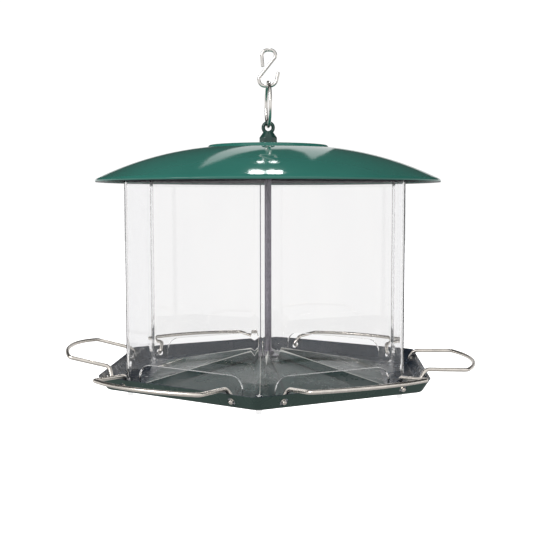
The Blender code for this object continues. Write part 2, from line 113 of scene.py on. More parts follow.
KNOB_TURN = math.radians(3.3)
RING_WIRE = 1.3 * MM
HOOK_WIRE = 1.3 * MM
PERCH_WIRE = 1.5 * MM
WIRE_SIDES = 24

# Each perch's side of the hexagon, in degrees from +X, half the distance between its two holes,
# their radius, and how far out its wire bends along the side.
PERCH_SIDES = {
    "perch_right": 0,
    "perch_back_right": 60,
    "perch_back_left": 120,
    "perch_left": 180,
    "perch_front_left": 240,
    "perch_front_right": 300,
}
PERCH_SPAN = 48.3 * MM
PERCH_HOLE = 3.0 * MM
PERCH_BEND_X = 152.0 * MM


# ---------------- mesh helpers


def add_piece(name, mesh, material, node, body):
    """A finished mesh as a piece that stands for one CAD node and rides on its body."""
    mesh.materials.append(material)
    obj = bpy.data.objects.new(name, mesh)
    bpy.context.scene.collection.objects.link(obj)
    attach(obj, body)
    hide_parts(node)
    return obj


def mesh_from(bm, name, sharp_degrees=35.0):
    """The bmesh as a smooth-shaded mesh whose faces point outwards."""
    bmesh.ops.recalc_face_normals(bm, faces=bm.faces)
    mesh = bpy.data.meshes.new(name)
    bm.to_mesh(mesh)
    bm.free()
    mesh.shade_smooth()
    mesh.set_sharp_from_angle(angle=math.radians(sharp_degrees))
    return mesh


def rounded(points, radii, steps, closed=False):
    """The path through these corners, with each corner turned into an arc of its own radius."""
    corners = [Vector(point) for point in points]
    count = len(corners)
    path = []
    for index, corner in enumerate(corners):
        radius = radii[index] if isinstance(radii, (list, tuple)) else radii
        is_end = not closed and index in (0, count - 1)
        if is_end or radius <= 0:
            path.append(corner)
            continue
        before = (corners[index - 1] - corner).normalized()
        after = (corners[(index + 1) % count] - corner).normalized()
        half = before.angle(after) / 2
        middle = corner + (before + after).normalized() * radius / math.sin(half)
        start = (corner + before * radius / math.tan(half) - middle).normalized()
        end = (corner + after * radius / math.tan(half) - middle).normalized()
        for step in range(steps + 1):
            path.append(middle + start.slerp(end, step / steps) * radius)
    return path


def hexagon(apothem, corner, z):
    """A hexagon with round corners, with flat sides facing +X and -X."""
    points = [polar(apothem / SIDE_SHARE, turn, z) for turn in CORNER_TURNS]
    return rounded(points, corner, 10, closed=True)


def polar(radius, angle, z):
    """The point at this radius and angle about Z."""
    return Vector((radius * math.cos(angle), radius * math.sin(angle), z))


def loft(bm, rings):
    """Quads between each ring of points and the next; returns the rings' vertices."""
    rows = [[bm.verts.new(point) for point in ring] for ring in rings]
    count = len(rows[0])
    for lower, upper in zip(rows, rows[1:]):
        for index in range(count):
            after = (index + 1) % count
            bm.faces.new((lower[index], lower[after], upper[after], upper[index]))
    return rows


def close_loft(bm, rows):
    """Joins the last ring to the first, for a section that closes on itself."""
    count = len(rows[0])
    for index in range(count):
        after = (index + 1) % count
        bm.faces.new((rows[-1][index], rows[-1][after], rows[0][after], rows[0][index]))


def turned(bm, profile, steps, shape=None):
    """A solid of revolution about Z from (radius, z) points; a radius of zero closes on the axis.

    shape(angle, radius) gives the share of the radius to keep at each angle.
    """
    rows = []
    for radius, z in profile:
        if radius <= 0:
            rows.append([bm.verts.new((0.0, 0.0, z))])
            continue
        ring = []
        for step in range(steps):
            angle = 2 * math.pi * step / steps
            reach = radius * (shape(angle, radius) if shape else 1.0)
            ring.append(bm.verts.new(polar(reach, angle, z)))
        rows.append(ring)
    pairs = list(zip(rows, rows[1:]))
    if len(rows[0]) > 1 and len(rows[-1]) > 1:
        pairs.append((rows[-1], rows[0]))
    for first, second in pairs:
        for index in range(steps):
            after = (index + 1) % steps
            corners = [first[index % len(first)], first[after % len(first)]]
            corners += [second[after % len(second)], second[index % len(second)]]
            unique = [v for place, v in enumerate(corners) if v not in corners[:place]]
            bm.faces.new(unique)


def bevel(obj, width, segments):
    """Rounds obj's sharp edges."""
    modifier = obj.modifiers.new("Edges", "BEVEL")
    modifier.width = width
    modifier.segments = segments
    modifier.limit_method = "ANGLE"
    modifier.angle_limit = math.radians(40.0)
    modifier.harden_normals = True


def settle(obj, sharp_degrees=35.0):
    """Turns obj's modifiers into its own mesh."""
    bpy.context.view_layer.update()
    graph = bpy.context.evaluated_depsgraph_get()
    mesh = bpy.data.meshes.new_from_object(obj.evaluated_get(graph))
    obj.modifiers.clear()
    obj.data = mesh
    mesh.shade_smooth()
    mesh.set_sharp_from_angle(angle=math.radians(sharp_degrees))


def cut(obj, bm, name, operation="DIFFERENCE"):
    """Cuts the bmesh out of obj, and applies the cut."""
    bmesh.ops.recalc_face_normals(bm, faces=bm.faces)
    mesh = bpy.data.meshes.new(name)
    bm.to_mesh(mesh)
    bm.free()
    tool = bpy.data.objects.new(name, mesh)
    bpy.context.scene.collection.objects.link(tool)
    modifier = obj.modifiers.new(name, "BOOLEAN")
    modifier.operation = operation
    modifier.object = tool
    modifier.solver = "EXACT"
    settle(obj)
    bpy.data.objects.remove(tool, do_unlink=True)


def cylinder(bm, radius, depth, matrix, segments=28):
    """Adds a closed cylinder, centred on the matrix's origin, along its Z."""
    bmesh.ops.create_cone(
        bm,
        cap_ends=True,
        segments=segments,
        radius1=radius,
        radius2=radius,
        depth=depth,
        matrix=matrix,
    )


def spaced(path, most):
    """The path with extra points on its long stretches."""
    made = [path[0]]
    for before, after in zip(path, path[1:]):
        parts = max(1, math.ceil((after - before).length / most))
        made += [before.lerp(after, part / parts) for part in range(1, parts + 1)]
    return [p for index, p in enumerate(made) if not index or (p - made[index - 1]).length > 1e-6]


def tube(bm, path, radius, cyclic, lay):
    """A round wire along a path, with parallel-transported rings and chamfered ends.

    The lay layer gets each point's place round the wire and along it.
    """
    count = len(path)
    tangents = []
    for index in range(count):
        if cyclic:
            tangents.append((path[(index + 1) % count] - path[index - 1]).normalized())
        else:
            ahead = path[min(index + 1, count - 1)]
            tangents.append((ahead - path[max(index - 1, 0)]).normalized())
    start = Vector((0, 0, 1)) if abs(tangents[0].z) < 0.9 else Vector((1, 0, 0))
    normal = (start - tangents[0] * start.dot(tangents[0])).normalized()
    along = 0.0
    rings = []
    places = []
    chamfer = 0.18 * radius
    for index, (point, tangent) in enumerate(zip(path, tangents)):
        if index:
            along += (point - path[index - 1]).length
            turn = tangents[index - 1].rotation_difference(tangent)
            normal = turn @ normal
            normal = (normal - tangent * normal.dot(tangent)).normalized()
        side = tangent.cross(normal)
        stations = [(point, radius)]
        if not cyclic and index == 0:
            stations = [(point, radius - chamfer), (point + tangent * chamfer, radius)]
        if not cyclic and index == count - 1:
            stations = [(point - tangent * chamfer, radius), (point, radius - chamfer)]
        for centre, reach in stations:
            ring = []
            for step in range(WIRE_SIDES):
                angle = 2 * math.pi * step / WIRE_SIDES
                ring.append(centre + (normal * math.cos(angle) + side * math.sin(angle)) * reach)
            rings.append(ring)
            places.append(along)
    rows = loft(bm, rings)
    if cyclic:
        close_loft(bm, rows)
    else:
        bm.faces.new(reversed(rows[0]))
        bm.faces.new(rows[-1])
    for row, place in zip(rows, places):
        for step, vertex in enumerate(row):
            angle = 2 * math.pi * step / WIRE_SIDES
            vertex[lay] = Vector((math.cos(angle), math.sin(angle), place / radius))


def wire_mesh(name, path, radius, cyclic=False):
    """A wire whose LAY attribute runs round it and along it, for drawing lines."""
    bm = bmesh.new()
    lay = bm.verts.layers.float_vector.new("LAY")
    tube(bm, path, radius, cyclic, lay)
    return mesh_from(bm, name, 50.0)


# ---------------- material helpers


class Nodes:
    """Short calls for building the node tree of a new material, or of the world given."""

    def __init__(self, name, world=None):
        self.owner = world or bpy.data.materials.new(name)
        self.owner.use_nodes = True
        self.tree = self.owner.node_tree
        self.shader = self.tree.nodes["Background" if world else "Principled BSDF"]

    def new(self, kind, **values):
        """A new node with these attributes."""
        node = self.tree.nodes.new(kind)
        for key, value in values.items():
            setattr(node, key, value)
        return node

    def link(self, source, target):
        self.tree.links.new(source, target)

    def feed(self, name, source):
        """Links source to the shader's socket of this name."""
        self.link(source, self.shader.inputs[name])

    def place(self):
        """The point's place on the object."""
        return self.new("ShaderNodeTexCoord").outputs["Object"]

    def stretched(self, source, scale):
        """The place scaled along each axis: a low scale draws a pattern out along its axis."""
        node = self.new("ShaderNodeMapping")
        node.inputs["Scale"].default_value = scale
        self.link(source, node.inputs["Vector"])
        return node.outputs["Vector"]

    def noise(self, source, scale, detail=2.0, rough=0.5):
        """Noise from 0 to 1, with about this many bumps to the metre."""
        node = self.new("ShaderNodeTexNoise")
        node.inputs["Scale"].default_value = scale
        node.inputs["Detail"].default_value = detail
        node.inputs["Roughness"].default_value = rough
        self.link(source, node.inputs["Vector"])
        return node.outputs["Fac"]

    def ramp(self, source, low, high, out_low, out_high, smooth=True):
        """The number mapped from one range to another, and held at its ends."""
        node = self.new("ShaderNodeMapRange")
        node.interpolation_type = "SMOOTHSTEP" if smooth else "LINEAR"
        node.inputs["From Min"].default_value = low
        node.inputs["From Max"].default_value = high
        node.inputs["To Min"].default_value = out_low
        node.inputs["To Max"].default_value = out_high
        self.link(source, node.inputs["Value"])
        return node.outputs["Result"]

    def colours(self, factor, first, second):
        """A colour between first and second, by factor."""
        node = self.new("ShaderNodeMix", data_type="RGBA")
        self.link(factor, node.inputs["Factor"])
        for socket, colour in (("A", first), ("B", second)):
            target = next(s for s in node.inputs if s.name == socket and s.type == "RGBA")
            if isinstance(colour, tuple):
                target.default_value = (*colour, 1.0)
            else:
                self.link(colour, target)
        return next(s for s in node.outputs if s.type == "RGBA")

    def fill(self, sockets, values):
        """Gives each socket its number, or links its output to it."""
        for socket, value in zip(sockets, values):
            if isinstance(value, (int, float)):
                socket.default_value = value
            else:
                self.link(value, socket)

    def mixed(self, factor, first, second):
        """A number between first and second, by factor."""
        node = self.new("ShaderNodeMix", data_type="FLOAT")
        self.link(factor, node.inputs["Factor"])
        self.fill(node.inputs[2:4], (first, second))
        return node.outputs["Result"]

    def maths(self, first, second, operation="ADD"):
        """One sum on two numbers."""
        node = self.new("ShaderNodeMath", operation=operation)
        self.fill(node.inputs, (first, second))
        return node.outputs["Value"]

    def bumps(self, *layers):
        """Stacks (height, distance in metres, strength) layers and joins the last to the shader."""
        before = None
        for height, distance, strength in layers:
            node = self.new("ShaderNodeBump")
            node.inputs["Distance"].default_value = distance
            node.inputs["Strength"].default_value = strength
            self.link(height, node.inputs["Height"])
            if before is not None:
                self.link(before, node.inputs["Normal"])
            before = node.outputs["Normal"]
        self.feed("Normal", before)

    def set(self, **values):
        """Constants on the shader's own sockets; an underscore stands for a space."""
        for key, value in values.items():
            name = key.replace("_", " ")
            self.shader.inputs[name].default_value = value


def paint_rib_light(n, place, colour):
    """Painted light on the ribs: a painted highlight along the six crests, and painted shadow in
    the folds at the ribs' feet.
    """
    parts = n.new("ShaderNodeSeparateXYZ")
    n.link(place, parts.inputs[0])
    x, y, _ = parts.outputs
    sixth = math.pi / SIDES
    turn = n.maths(sixth, n.maths(n.maths(y, x, "ARCTAN2"), sixth, "PINGPONG"), "SUBTRACT")
    squares = n.maths(n.maths(x, x, "MULTIPLY"), n.maths(y, y, "MULTIPLY"))
    radius = n.maths(squares, 0.5, "POWER")
    from_crest = n.maths(turn, radius, "MULTIPLY")
    past_foot = n.maths(n.maths(turn, RIB_HALF_ANGLE, "SUBTRACT"), radius, "MULTIPLY")
    from_foot = n.maths(past_foot, 0.0, "ABSOLUTE")
    # painted shadow along the ribs' feet, and a painted highlight along their crests
    painted_foot_shadow, painted_crest_highlight = (0.008, 0.010, 0.010), (0.62, 0.62, 0.58)
    foot_shadowed = n.colours(n.ramp(from_foot, 0.3 * MM, 1.5 * MM, 0.75, 0.0), colour, painted_foot_shadow)
    return n.colours(n.ramp(from_crest, 0.35 * MM, 0.75 * MM, 0.9, 0.0), foot_shadowed, painted_crest_highlight)


def enamel(name, deep, lit, roughness, index=1.5, peel=1.0, painted_ribs=False, upward_shade=None):
    """Sprayed enamel on pressed steel: orange peel, slow waves in the sheet, and faint dust.

    peel scales the orange peel and the dust. Setting the rib flag paints light on the diverter's
    ribs: a highlight along the crests and shadow at their feet. A colour for the faces that look up
    paints shade on them.
    """
    n = Nodes(name)
    place = n.place()
    slow = n.noise(place, 9.0, 3.0)
    colour = n.colours(n.ramp(slow, 0.3, 0.7, 0.0, 1.0), deep, lit)
    # painted shade: the faces that look up take the darker colour
    if upward_shade is not None:
        up = n.new("ShaderNodeSeparateXYZ")
        n.link(n.new("ShaderNodeTexCoord").outputs["Normal"], up.inputs[0])
        colour = n.colours(n.ramp(up.outputs["Z"], -0.15, 0.15, 0.0, 1.0), colour, upward_shade)
    # painted light on the ribs: a highlight on the crests and shadow at their feet
    if painted_ribs:
        colour = paint_rib_light(n, place, colour)
    dust = n.ramp(n.noise(place, 260.0, 4.0, 0.65), 0.62, 0.80, 0.0, 0.10 * peel)
    dusty = tuple(0.6 * part + 0.10 for part in lit)
    n.feed("Base Color", n.colours(dust, colour, dusty))
    patches = n.noise(place, 34.0, 4.0, 0.6)
    n.feed("Roughness", n.ramp(patches, 0.3, 0.75, roughness * 0.8, roughness * 1.5))
    n.bumps(
        (n.noise(place, 22.0, 2.0), 1.2 * MM, 0.10 * peel),
        (n.noise(place, 620.0, 2.0), 0.05 * MM, 0.35 * peel),
    )
    n.set(Metallic=0.0, IOR=index)
    return n.owner


def bright_wire(name, light, dark, roughness):
    """Drawn and tumbled steel wire: fine lines along it, and dull spots."""
    n = Nodes(name)
    lay = n.new("ShaderNodeAttribute", attribute_name="LAY").outputs["Vector"]
    lines = n.noise(n.stretched(lay, (5.0, 5.0, 0.05)), 3.0, 5.0, 0.6)
    spots = n.noise(n.place(), 240.0, 3.0, 0.6)
    shade = n.ramp(spots, 0.35, 0.7, 0.0, 1.0)
    n.feed("Base Color", n.colours(shade, light, dark))
    rough = n.ramp(lines, 0.3, 0.7, roughness * 0.7, roughness * 1.3)
    spread = n.ramp(spots, 0.45, 0.8, 0.0, 0.10)
    n.feed("Roughness", n.maths(rough, spread))
    n.bumps((lines, 0.04 * MM, 0.35), (spots, 0.05 * MM, 0.2))
    n.set(Metallic=1.0)
    return n.owner


def plated_steel(name, light, dark, roughness):
    """Zinc plate: a soft crystalline mottle with small handling marks."""
    n = Nodes(name)
    place = n.place()
    mottle = n.noise(place, 420.0, 5.0, 0.7)
    marks = n.noise(n.stretched(place, (1.0, 1.0, 0.15)), 700.0, 3.0)
    n.feed("Base Color", n.colours(n.ramp(mottle, 0.3, 0.7, 0.0, 1.0), light, dark))
    n.feed("Roughness", n.ramp(marks, 0.3, 0.7, roughness * 0.8, roughness * 1.4))
    n.bumps((mottle, 0.03 * MM, 0.3), (marks, 0.03 * MM, 0.25))
    n.set(Metallic=0.9)
    return n.owner


def moulded_plastic(name, deep, lit, roughness):
    """Glossy moulded plastic with a fine spark-eroded skin and slight sink marks."""
    n = Nodes(name)
    place = n.place()
    grain = n.noise(place, 900.0, 3.0, 0.6)
    sink = n.noise(place, 120.0, 2.0)
    n.feed("Base Color", n.colours(n.ramp(sink, 0.3, 0.7, 0.0, 1.0), deep, lit))
    n.feed("Roughness", n.ramp(grain, 0.3, 0.7, roughness * 0.8, roughness * 1.3))
    n.bumps((sink, 0.25 * MM, 0.25), (grain, 0.02 * MM, 0.3))
    n.set(Metallic=0.0, IOR=1.5, Coat_Weight=0.3, Coat_Roughness=0.08)
    return n.owner


def clear_plastic(name):
    """Clear moulded polystyrene: slow flow waves, faint upright flow lines and light scuffs.

    It is see-through where it is seen edge on, which keeps its outline faint, and to shadows.
    """
    n = Nodes(name)
    place = n.place()
    flow = n.noise(n.stretched(place, (1.0, 1.0, 0.25)), 26.0, 2.0)
    waves = n.noise(place, 9.0, 1.0)
    scuffs = n.noise(n.stretched(place, (1.0, 1.0, 0.6)), 310.0, 5.0, 0.7)
    tint = n.ramp(flow, 0.3, 0.7, 0.0, 1.0)
    thick, thin = (0.962, 0.960, 0.962), (0.976, 0.973, 0.972)
    n.feed("Base Color", n.colours(tint, thick, thin))
    n.feed("Roughness", n.ramp(scuffs, 0.62, 0.82, 0.0, 0.10))
    n.bumps((waves, 1.4 * MM, 0.10), (flow, 0.30 * MM, 0.10))
    n.set(Metallic=0.0, IOR=1.49, Transmission_Weight=1.0)
    through = n.new("ShaderNodeBsdfTransparent")
    mixed = n.new("ShaderNodeMixShader")
    rim = n.ramp(n.new("ShaderNodeLayerWeight").outputs["Facing"], 0.62, 0.82, 0.0, 0.92)
    shadow = n.new("ShaderNodeLightPath").outputs["Is Shadow Ray"]
    edge_tint, shadow_tint = (0.978, 0.978, 0.982), (0.93, 0.93, 0.94)
    n.link(n.colours(shadow, edge_tint, shadow_tint), through.inputs["Color"])
    n.link(n.maths(rim, shadow, "MAXIMUM"), mixed.inputs[0])
    n.link(n.shader.outputs["BSDF"], mixed.inputs[1])
    n.link(through.outputs["BSDF"], mixed.inputs[2])
    n.link(mixed.outputs["Shader"], n.tree.nodes["Material Output"].inputs["Surface"])
    return n.owner


# ---------------- tray


def wall_directions():
    """Up along the tray's leaning wall, and out of it, in a side's own frame."""
    out = Vector((RIM_APOTHEM - FLOOR_APOTHEM, 0.0, RIM_Z - TRAY_BASE_Z)).normalized()
    return out, Vector((out.z, 0.0, -out.x))


WALL_OUT, WALL_NORMAL = wall_directions()


def side_matrix(angle):
    """A side's own frame: X points out of the side and Y runs along it."""
    return Matrix.Rotation(angle, 4, "Z")


def perch_pivot(name):
    """The perch's hinge point, from its joint."""
    return Vector(JOINTS[name + "_fold"]["pos_m"])


def add_pegs(bm, radius, depth, z):
    """Adds an upright cylinder, centred on this height, at each corner."""
    for turn in CORNER_TURNS:
        cylinder(bm, radius, depth, side_matrix(turn) @ Matrix.Translation((PEG_CIRCLE, 0, z)))


def make_tray(material):
    """The pan: a flat floor, a rolled bend, a leaning wall and a rounded cut edge."""
    inner_floor = FLOOR_APOTHEM - 16 * MM
    outer_bend, inner_bend = 2.5 * MM, 1.5 * MM
    wall_drill, floor_drill = 8.0 * MM, 6.0 * MM
    corners = (
        (inner_floor, 0.0, TRAY_BASE_Z),
        (FLOOR_APOTHEM, 0.0, TRAY_BASE_Z),
        (RIM_APOTHEM, 0.0, RIM_Z),
    )
    outer = rounded(corners, outer_bend, 8)
    inner_corners = (
        (RIM_APOTHEM - WALL_NORMAL.x * SHEET, 0.0, RIM_Z),
        (FLOOR_APOTHEM - 0.62 * SHEET, 0.0, TRAY_BASE_Z + SHEET),
        (inner_floor, 0.0, TRAY_BASE_Z + SHEET),
    )
    inner = rounded(inner_corners, inner_bend, 8)
    edge = 0.35 * MM
    lip = [outer[-1] - WALL_OUT * edge, outer[-1] - WALL_NORMAL * edge]
    lip += [inner[0] + WALL_NORMAL * 0.2 * MM, inner[0] - WALL_OUT * edge]
    section = outer[:-1] + lip + inner[1:]
    bm = bmesh.new()
    rings = [hexagon(point.x, TRAY_CORNER, min(point.z, RIM_Z)) for point in section]
    rows = loft(bm, rings)
    for row, z in ((rows[0], TRAY_BASE_Z), (rows[-1], TRAY_BASE_Z + SHEET)):
        centre = bm.verts.new((0.0, 0.0, z))
        for index, vertex in enumerate(row):
            bm.faces.new((vertex, row[(index + 1) % len(row)], centre))
    tray = add_piece("feeder_tray", mesh_from(bm, "feeder_tray"), material, "tray", "base")

    bm = bmesh.new()
    tilt = Vector((0, 0, 1)).rotation_difference(WALL_NORMAL).to_matrix().to_4x4()
    for name, side in PERCH_SIDES.items():
        pivot = perch_pivot(name)
        along = side_matrix(math.radians(side)) @ Vector((0, PERCH_SPAN, 0))
        for end in (-1, 1):
            place = Matrix.Translation(pivot + along * end) @ side_matrix(math.radians(side))
            cylinder(bm, PERCH_HOLE, wall_drill, place @ tilt, 36)
    add_pegs(bm, PEG_RADIUS + GAP, floor_drill, TRAY_BASE_Z)
    cylinder(bm, ROD_HOLE, floor_drill, Matrix.Translation((0, 0, TRAY_BASE_Z)))
    cut(tray, bm, "tray_holes")


# ---------------- seed diverter


def make_diverter(material):
    """A pressed pyramid with six creased ridges, a flat hub and a thin turned edge."""
    rib_top = DIVERTER_HIGH.z
    hub_z = rib_top - RIB_RISE
    edge_z = TRAY_BASE_Z + SHEET + GAP + SHEET
    half_sector = math.pi / SIDES
    turns = [RIB_HALF_ANGLE * share for share in (0.0, 0.06, 0.2, 0.5, 0.8, 0.94, 1.0, 1.06)]
    start = turns[-1]
    turns += [start + (half_sector - start) * share for share in (0.15, 0.35, 0.6, 0.8, 1.0)]
    sector = turns + [2 * half_sector - turn for turn in reversed(turns[1:-1])]
    stretches = 24

    def height_at(turn, share):
        """Height this far round from a crest, and this share of the way from hub to edge."""
        ridge = max(0.0, 1 - turn / RIB_HALF_ANGLE)
        crest = 0.06  # the last share of the way up, where the rib is half as steep
        if ridge > 1 - crest:
            ridge = 1 - crest + (ridge - 1 + crest) * 0.5
        rib = (rib_top - hub_z) * (1 - share) / (1 - crest / 2)
        return hub_z + share * (edge_z - hub_z) + rib * ridge

    def ring(share, hub_radius=None):
        """A ring of the hub at this radius, or of the slope at this share of the way out."""
        points = []
        for corner_turn in CORNER_TURNS:
            for turn in sector:
                near = min(turn, 2 * half_sector - turn)
                edge = DIVERTER_APOTHEM / math.cos(near - half_sector)
                radius = hub_radius or RIB_START + share * (edge - RIB_START)
                z = hub_z if hub_radius else min(height_at(near, share), rib_top)
                points.append(polar(radius, corner_turn + turn, z))
        return points

    hub_radii = (ROD_HOLE, 5.0 * MM, DIVERTER_HUB, DIVERTER_HUB + 0.7 * MM)
    rings = [ring(0.0, radius) for radius in hub_radii]
    rings += [ring(index / stretches) for index in range(stretches + 1)]
    bm = bmesh.new()
    loft(bm, rings)
    mesh = mesh_from(bm, "feeder_seed_diverter", 20.0)
    if mesh.polygons[0].normal.z < 0:  # the sheet thickens away from its outer face
        mesh.flip_normals()
    piece = add_piece("feeder_seed_diverter", mesh, material, "seed_diverter", "base")
    modifier = piece.modifiers.new("Sheet", "SOLIDIFY")
    modifier.thickness = SHEET
    modifier.offset = -1.0
    settle(piece, 20.0)


# ---------------- hopper


def perimeter_columns():
    """(outer point, inner point, distance along its side from the middle) for each column."""
    inner_apothem = HOPPER_APOTHEM - HOPPER_WALL
    half_side = HOPPER_APOTHEM * math.tan(math.pi / SIDES)
    tangent = half_side - HOPPER_CORNER * math.tan(math.pi / SIDES)
    inner_tangent = (inner_apothem - HOPPER_INNER_CORNER) * math.tan(math.pi / SIDES)
    arch_steps, corner_steps = 8, 16
    arch = []
    for step in range(arch_steps + 1):
        angle = math.pi / 2 * step / arch_steps
        arch.append(PORT_HALF_WIDTH - PORT_CORNER + PORT_CORNER * math.sin(angle))
    flat = [0.0, 12 * MM, 24 * MM] + arch
    flat += [PORT_HALF_WIDTH + 0.6 * MM, tangent - 4 * MM, tangent - 0.5 * MM, tangent]
    columns = []
    for side in range(SIDES):
        turn = side_matrix(math.radians(60 * side))
        for along in [-v for v in reversed(flat[1:])] + flat:
            within = along if abs(along) < tangent else math.copysign(inner_tangent, along)
            outer = turn @ Vector((HOPPER_APOTHEM, along, 0))
            columns.append((outer, turn @ Vector((inner_apothem, within, 0)), along))
        corner_turn = math.radians(60 * side + 30)
        for step in range(1, corner_steps):
            angle = corner_turn + math.radians(60) * (step / corner_steps - 0.5)
            pair = []
            for apothem, radius in (
                (HOPPER_APOTHEM, HOPPER_CORNER),
                (inner_apothem, HOPPER_INNER_CORNER),
            ):
                centre = (apothem - radius) / SIDE_SHARE
                x = centre * math.cos(corner_turn) + radius * math.cos(angle)
                y = centre * math.sin(corner_turn) + radius * math.sin(angle)
                pair.append(Vector((x, y, 0)))
            columns.append((*pair, half_side))
    return columns


def port_z(along):
    """How high the port reaches at this distance from the middle of the side; None past it."""
    away = abs(along)
    if away > PORT_HALF_WIDTH + 0.01 * MM:
        return None
    past = max(0.0, away - (PORT_HALF_WIDTH - PORT_CORNER))
    return PORT_TOP_Z - PORT_CORNER + math.sqrt(max(0.0, PORT_CORNER**2 - past**2))


def make_hopper(material):
    """The tube as an outer and an inner skin of columns, notched by the ports, bevelled, pegged.

    Columns stand closer together round the corners and the ports' shoulders. A row of vertices
    close to each edge keeps the shading flat up to its bevel.
    """
    columns = perimeter_columns()
    count = len(columns)
    margin = 0.6 * MM
    shoulder = PORT_TOP_Z - PORT_CORNER
    above = PORT_TOP_Z + 4 * MM
    below_top = HOPPER_TOP_Z - margin
    stretches = 14
    uppers = [above + (below_top - above) * step / stretches for step in range(stretches + 1)]
    uppers.append(HOPPER_TOP_Z)
    bm = bmesh.new()
    grid = []
    inner_of = {}
    for outer, inner, along in columns:
        top_of_port = port_z(along)
        low = top_of_port if top_of_port is not None else shoulder
        levels = [low, low + (above - low) * 0.12, low + (above - low) * 0.5] + uppers
        foot = []
        if top_of_port is None or abs(abs(along) - PORT_HALF_WIDTH) < 0.01 * MM:
            foot = [HOPPER_FOOT_Z, HOPPER_FOOT_Z + margin, shoulder - margin]
        verts = []
        for z in foot + levels:
            vertex = bm.verts.new((outer.x, outer.y, z))
            inner_of[vertex] = bm.verts.new((inner.x, inner.y, z))
            verts.append(vertex)
        grid.append((verts, len(foot)))
    quads = []
    for index in range(count):
        here, here_base = grid[index]
        there, there_base = grid[(index + 1) % count]
        first_row = 0 if here_base and there_base else here_base
        shift = there_base - here_base
        for row in range(first_row, len(here) - 1):
            quads.append((here[row], there[row + shift], there[row + shift + 1], here[row + 1]))
    for quad in quads:
        bm.faces.new(quad)
    open_edges = [edge for edge in bm.edges if edge.is_boundary]
    for edge in open_edges:
        first, second = edge.verts
        bm.faces.new((first, second, inner_of[second], inner_of[first]))
    for quad in quads:
        bm.faces.new([inner_of[vertex] for vertex in reversed(quad)])
    mesh = mesh_from(bm, "feeder_hopper")
    hopper = add_piece("feeder_hopper", mesh, material, "hopper", "base")
    bevel(hopper, 0.45 * MM, 3)
    settle(hopper, 30.0)

    bm = bmesh.new()
    height = HOPPER_FOOT_Z + 5.0 * MM
    add_pegs(bm, PEG_RADIUS, height, height / 2)
    cut(hopper, bm, "hopper_pegs", "UNION")


# ---------------- roof


def dome_z(radius):
    """Height of the dome's outer face."""
    offset = radius - DOME_CENTRE_RADIUS
    return ROOF_RIM_Z + DOME_HEIGHT - (DOME_BEND - math.sqrt(DOME_BEND**2 - offset**2))


def make_roof(material, under_material):
    """A spun dome with a soft step up to its flat centre, and a rim turned down and in.

    The faces that look down take the second material.
    """
    boss_z = ROOF_RIM_Z + BOSS_HEIGHT
    blend = BOSS_RADIUS + 1.2 * MM
    boss = [(ROD_HOLE, 0.0, boss_z), (BOSS_RADIUS, 0.0, boss_z), (blend, 0.0, dome_z(blend))]
    outer = [(p.x, p.z) for p in rounded(boss, 1.2 * MM, 8)]
    outer = [outer[0], (12 * MM, boss_z), (30 * MM, boss_z), (44 * MM, boss_z)] + outer[1:]
    end = ROOF_RADIUS - 0.8 * MM
    stretches = 44
    for index in range(1, stretches + 1):
        radius = blend + (end - blend) * index / stretches
        outer.append((radius, dome_z(radius)))
    inner = [(r - 0.25 * SHEET, z - SHEET) for r, z in outer if r > BOSS_RADIUS + 1.0 * MM]
    inner = [(r, z) for r, z in inner if r < ROOF_RADIUS - 2 * SHEET]
    rim = ROOF_RIM_Z
    lip_inner = ROOF_RADIUS - 1.4 * SHEET
    lip_path = rounded(
        [
            (end, 0.0, dome_z(end)),
            (ROOF_RADIUS, 0.0, rim + 1.3 * MM),
            (ROOF_RADIUS, 0.0, rim),
            (ROOF_RADIUS - 1.2 * SHEET, 0.0, rim),
            (lip_inner, 0.0, dome_z(lip_inner) - 1.1 * SHEET),
        ],
        [0.0, 0.4 * MM, 0.45 * MM, 0.3 * MM, 0.0],
        5,
    )
    lip = [(p.x, p.z) for p in lip_path[1:]]
    under = [(BOSS_RADIUS - 1.2 * MM, boss_z - SHEET), (ROD_HOLE, boss_z - SHEET)]
    bm = bmesh.new()
    turned(bm, outer + lip + inner[::-1] + under, 192)
    mesh = mesh_from(bm, "feeder_roof", 50.0)
    add_piece("feeder_roof", mesh, material, "roof", "lid")
    mesh.materials.append(under_material)
    for face in mesh.polygons:
        if face.normal.z < -0.5:
            face.material_index = 1


# ---------------- rod and fasteners


def threaded(low, high, sides):
    """The rings of the rod's rolled thread between two heights."""
    rows_per_turn = 8
    crest = 0.15  # the share of the thread's pitch that stays at full radius
    step = THREAD_PITCH / rows_per_turn
    count = int((high - low) / step)
    rings = []
    for row in range(count + 1):
        z = low + row * step
        ring = []
        for side in range(sides):
            angle = 2 * math.pi * side / sides
            phase = (z / THREAD_PITCH - side / sides) % 1.0
            groove = 1 - abs(2 * phase - 1)
            fade = min(1.0, row / rows_per_turn, (count - row) / rows_per_turn)
            reach = ROD_RADIUS - THREAD_DEPTH * fade * max(0.0, groove - crest) / (1 - crest)
            ring.append(polar(reach, angle, z))
        rings.append(ring)
    return rings


def make_rod(material):
    """The rod: threaded at its foot, at the diverter and at its top, and plain between."""
    sides = 28
    chamfer = 0.5 * MM
    foot, top = ROD_LOW.z, ROD_HIGH.z
    plain_rows, plain_step = 8, 14 * MM

    def plain(radius, z):
        """A ring of the plain rod."""
        return [polar(radius, 2 * math.pi * side / sides, z) for side in range(sides)]

    rings = [plain(ROD_RADIUS - chamfer, foot)]
    rings += threaded(foot + chamfer, LOWER_THREAD_TOP, sides)
    for row in range(1, plain_rows + 1):
        rings.append(plain(ROD_RADIUS, LOWER_THREAD_TOP + row * plain_step))
    rings += threaded(top - UPPER_THREAD_LENGTH, top - chamfer, sides)
    rings.append(plain(ROD_RADIUS - chamfer, top))
    bm = bmesh.new()
    rows = loft(bm, rings)
    bm.faces.new(reversed(rows[0]))
    bm.faces.new(rows[-1])
    mesh = mesh_from(bm, "feeder_centre_rod", 60.0)
    add_piece("feeder_centre_rod", mesh, material, "centre_rod", "base")


